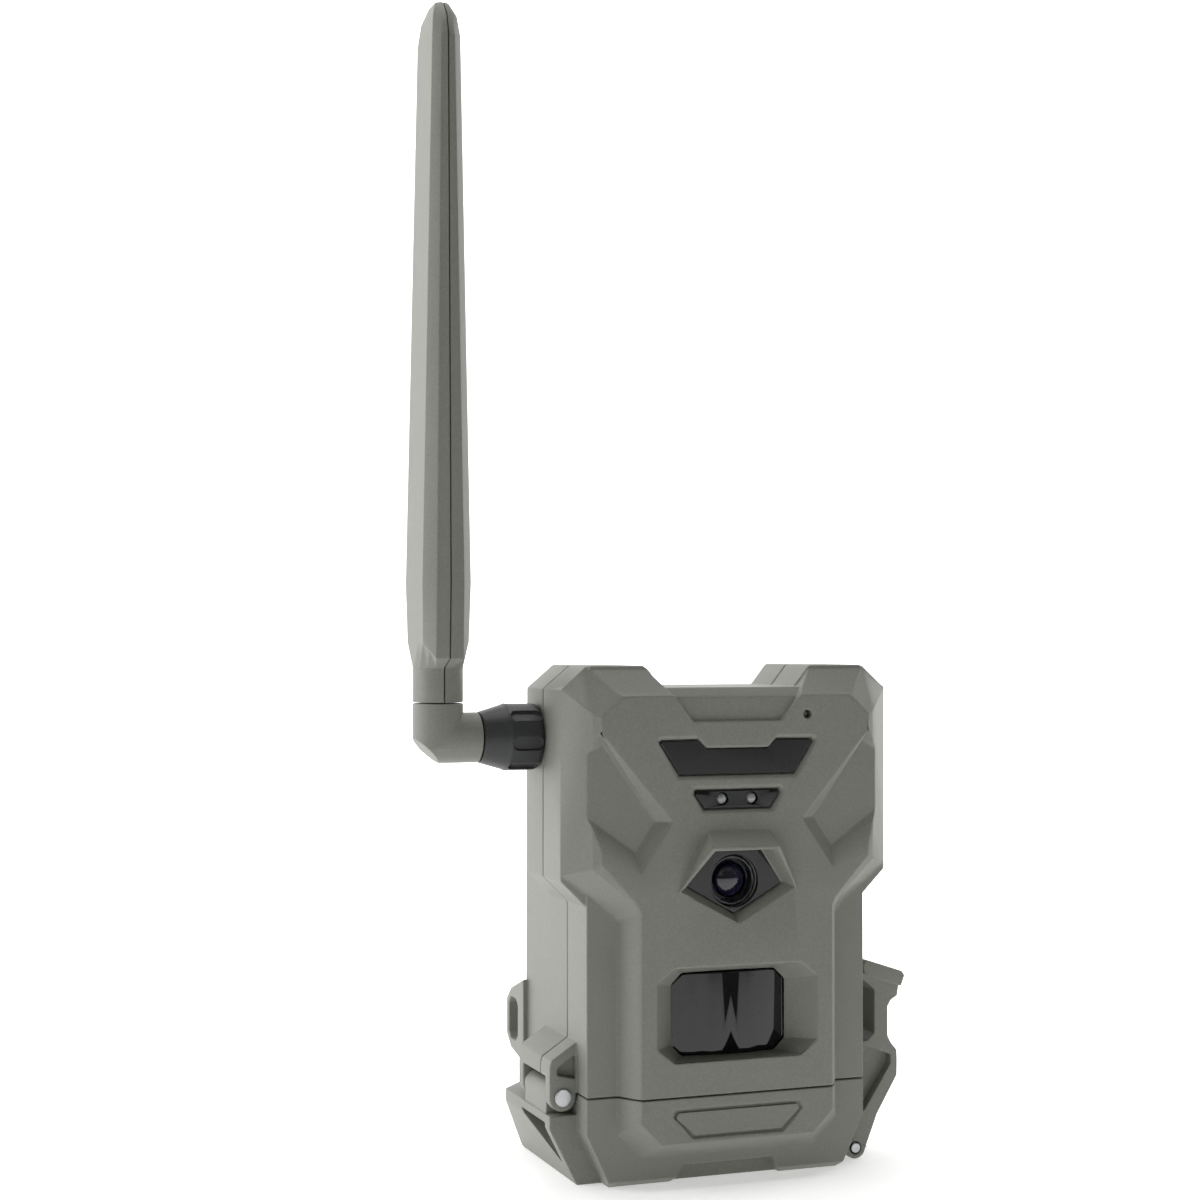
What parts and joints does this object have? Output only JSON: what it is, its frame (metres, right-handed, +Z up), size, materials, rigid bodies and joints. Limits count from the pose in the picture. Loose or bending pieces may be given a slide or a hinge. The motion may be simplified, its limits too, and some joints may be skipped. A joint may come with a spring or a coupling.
{
  "type": "trail camera",
  "caption": "Trail camera with a ribbed two-part housing, hooded lens, curved motion sensor window, bottom battery door with side latch, tree plate and a swinging side antenna.",
  "frame": {"origin": "middle of the flat base, under the body", "axes": "+Z up the antenna, +Y to the tree plate, -Y the way the lens looks, +X to the latch side"},
  "size_m": [0.1377, 0.0764, 0.3125],
  "materials": {
    "olive_shell": "fine moulded grain",
    "charcoal_plastic": "satin moulded",
    "gloss_black": "polished",
    "smoked_window": "polished, smoked",
    "steel": "satin",
    "brass": "satin",
    "circuit_board": "solder mask",
    "black_rubber": "matt",
    "dark_liner": "plain moulded",
    "clear_plastic": "clear",
    "cell_wrap": "satin film"
  },
  "bodies": {
    "housing": {"antenna_socket": "brass", "battery_tray": "dark_liner", "board_screw_1": "steel", "board_screw_2": "steel", "board_screw_3": "steel", "board_screw_4": "steel", "bracket_insert": "brass", "card_slot": "steel", "cell_1": "cell_wrap", "cell_2": "cell_wrap", "cell_3": "cell_wrap", "cell_4": "cell_wrap", "cell_5": "cell_wrap", "cell_6": "cell_wrap", "cell_7": "cell_wrap", "cell_8": "cell_wrap", "contact_plate_bottom": "steel", "contact_plate_top": "steel", "front_housing": "olive_shell", "hinge_pin": "steel", "housing_screw_1": "steel", "housing_screw_2": "steel", "housing_screw_3": "steel", "housing_screw_4": "steel", "image_sensor_board": "circuit_board", "infrared_board": "circuit_board", "key_switch_strip": "circuit_board", "lamp_left": "clear_plastic", "lamp_right": "clear_plastic", "lamp_window": "gloss_black", "led_window": "smoked_window", "lens_barrel": "charcoal_plastic", "lens_glass": "gloss_black", "lens_holder": "dark_liner", "lens_plate": "gloss_black", "main_board": "circuit_board", "memory_card": "dark_liner", "motion_sensor_can": "steel", "power_socket": "charcoal_plastic", "rear_housing": "olive_shell", "sensor_window": "smoked_window", "socket_plug": "black_rubber", "status_light": "clear_plastic"},
    "door": {"battery_door": "olive_shell", "door_gasket": "black_rubber", "latch_pin": "steel", "name_plate": "olive_shell"},
    "latch": {"latch_lever": "olive_shell"},
    "nut": {"antenna_nut": "charcoal_plastic"},
    "antenna": {"antenna_elbow": "olive_shell", "blade_inner_half": "olive_shell", "blade_outer_half": "olive_shell", "antenna_element": "brass"},
    "power_key": {"power_button": "charcoal_plastic"},
    "mode_key": {"mode_button": "charcoal_plastic"}
  },
  "joints": [
    {"name": "door_hinge", "type": "hinge", "parent": "housing", "child": "door", "pos_m": [-0.0441, 0, 0.0233], "axis": [0, 1, 0], "range_deg": [0, 95]},
    {"name": "latch_pivot", "type": "hinge", "parent": "door", "child": "latch", "pos_m": [0.0417, 0, 0.0031], "axis": [0, 1, 0], "range_deg": [0, 75]},
    {"name": "antenna_swing", "type": "hinge", "parent": "housing", "child": "antenna", "pos_m": [-0.0745, -0.004, 0.11775], "axis": [1, 0, 0], "range_deg": [-100, 100]},
    {"name": "antenna_nut_turn", "type": "hinge", "parent": "housing", "child": "nut", "pos_m": [-0.055, -0.004, 0.11775], "axis": [1, 0, 0], "continuous": true},
    {"name": "power_key", "type": "slide", "parent": "housing", "child": "power_key", "axis": [0, 0, 1], "range_m": [0, 0.0006], "stiffness_N_per_m": 800},
    {"name": "mode_key", "type": "slide", "parent": "housing", "child": "mode_key", "axis": [0, 0, 1], "range_m": [0, 0.0006], "stiffness_N_per_m": 800}
  ]
}
